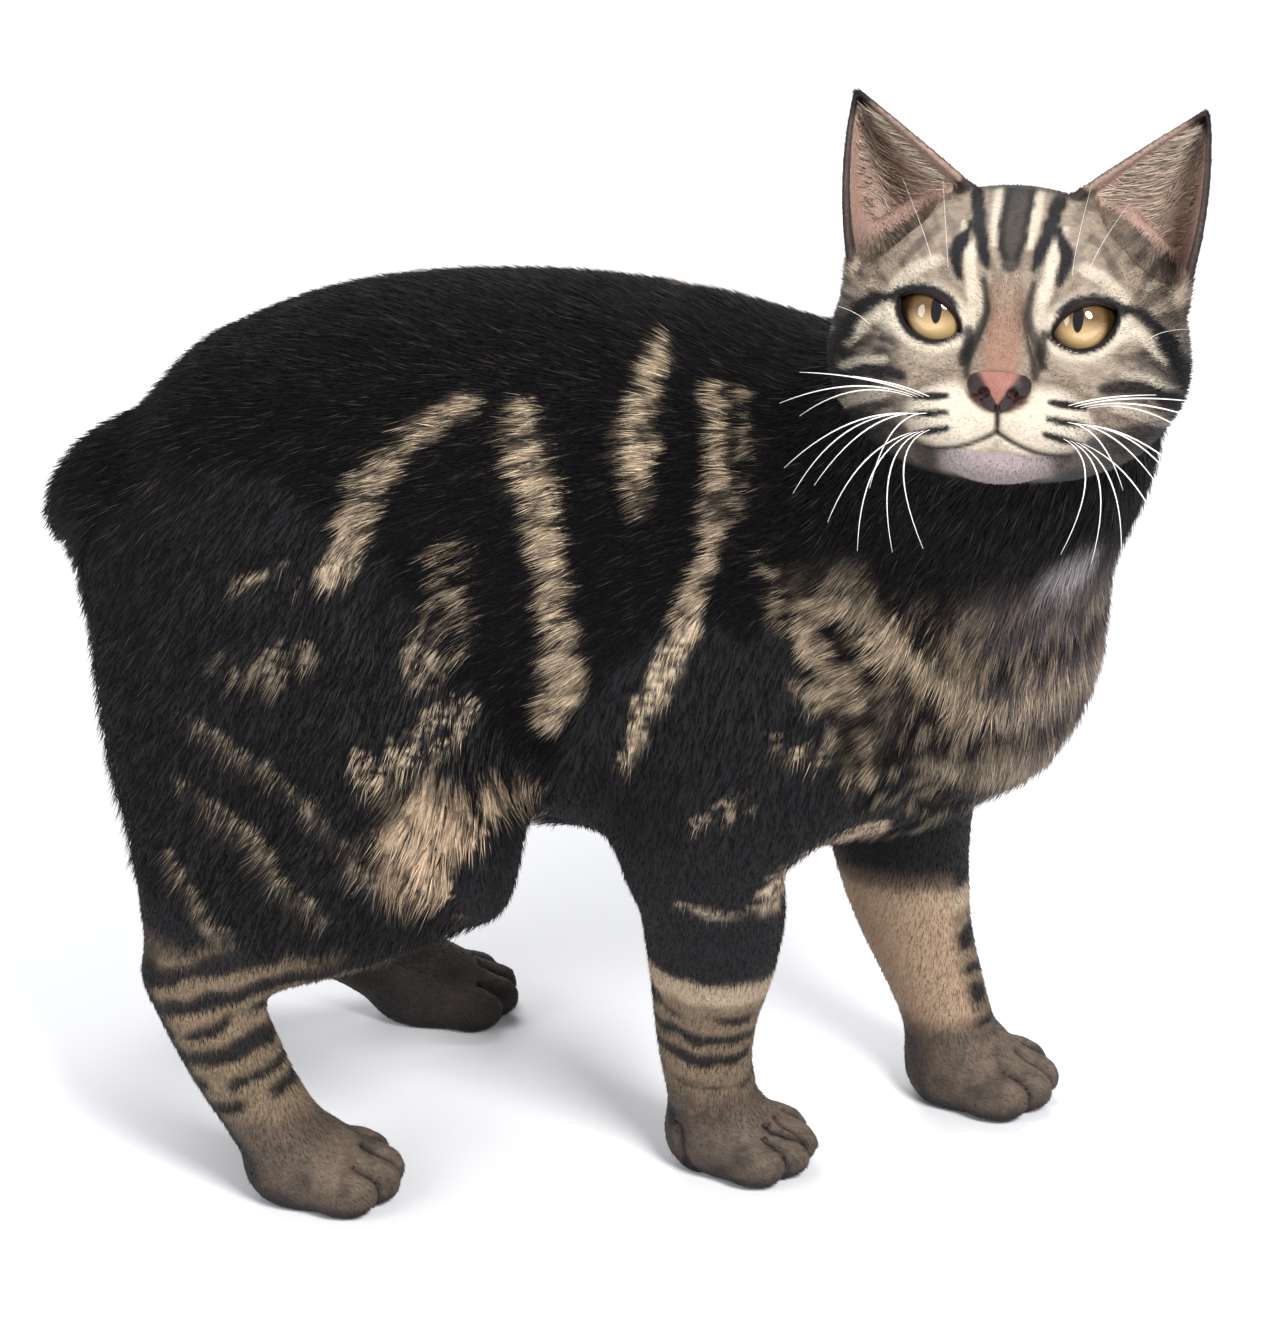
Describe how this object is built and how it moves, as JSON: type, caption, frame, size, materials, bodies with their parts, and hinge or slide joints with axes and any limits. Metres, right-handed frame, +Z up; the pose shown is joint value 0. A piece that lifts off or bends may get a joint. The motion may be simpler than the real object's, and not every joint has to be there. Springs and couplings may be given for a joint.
{
  "type": "manx cat",
  "caption": "Life-size standing cat with a short dark tabby coat, a rounded rump and a stub tail, head turned towards the viewer.",
  "frame": {"origin": "on the floor, under the middle of the cat's box", "axes": "+X the way the body faces, +Y the cat's left, +Z up"},
  "size_m": [0.3398, 0.1882, 0.3485],
  "materials": {
    "dark_coat": "short fur, matt with a slight sheen",
    "brown_coat": "short fur, matt",
    "eye": "wet and clear",
    "nose_leather": "damp satin",
    "whisker": "smooth satin"
  },
  "bodies": {
    "root": {"torso": "dark_coat", "tail": "dark_coat", "neck": "dark_coat", "head": "brown_coat", "ear_left": "brown_coat", "eye_left": "eye", "foreleg_left": "dark_coat", "forepaw_left": "brown_coat", "thigh_left": "dark_coat", "hock_left": "brown_coat", "hindpaw_left": "brown_coat", "ear_right": "brown_coat", "eye_right": "eye", "foreleg_right": "dark_coat", "forepaw_right": "brown_coat", "thigh_right": "dark_coat", "hock_right": "brown_coat", "hindpaw_right": "brown_coat"}
  },
  "joints": []
}
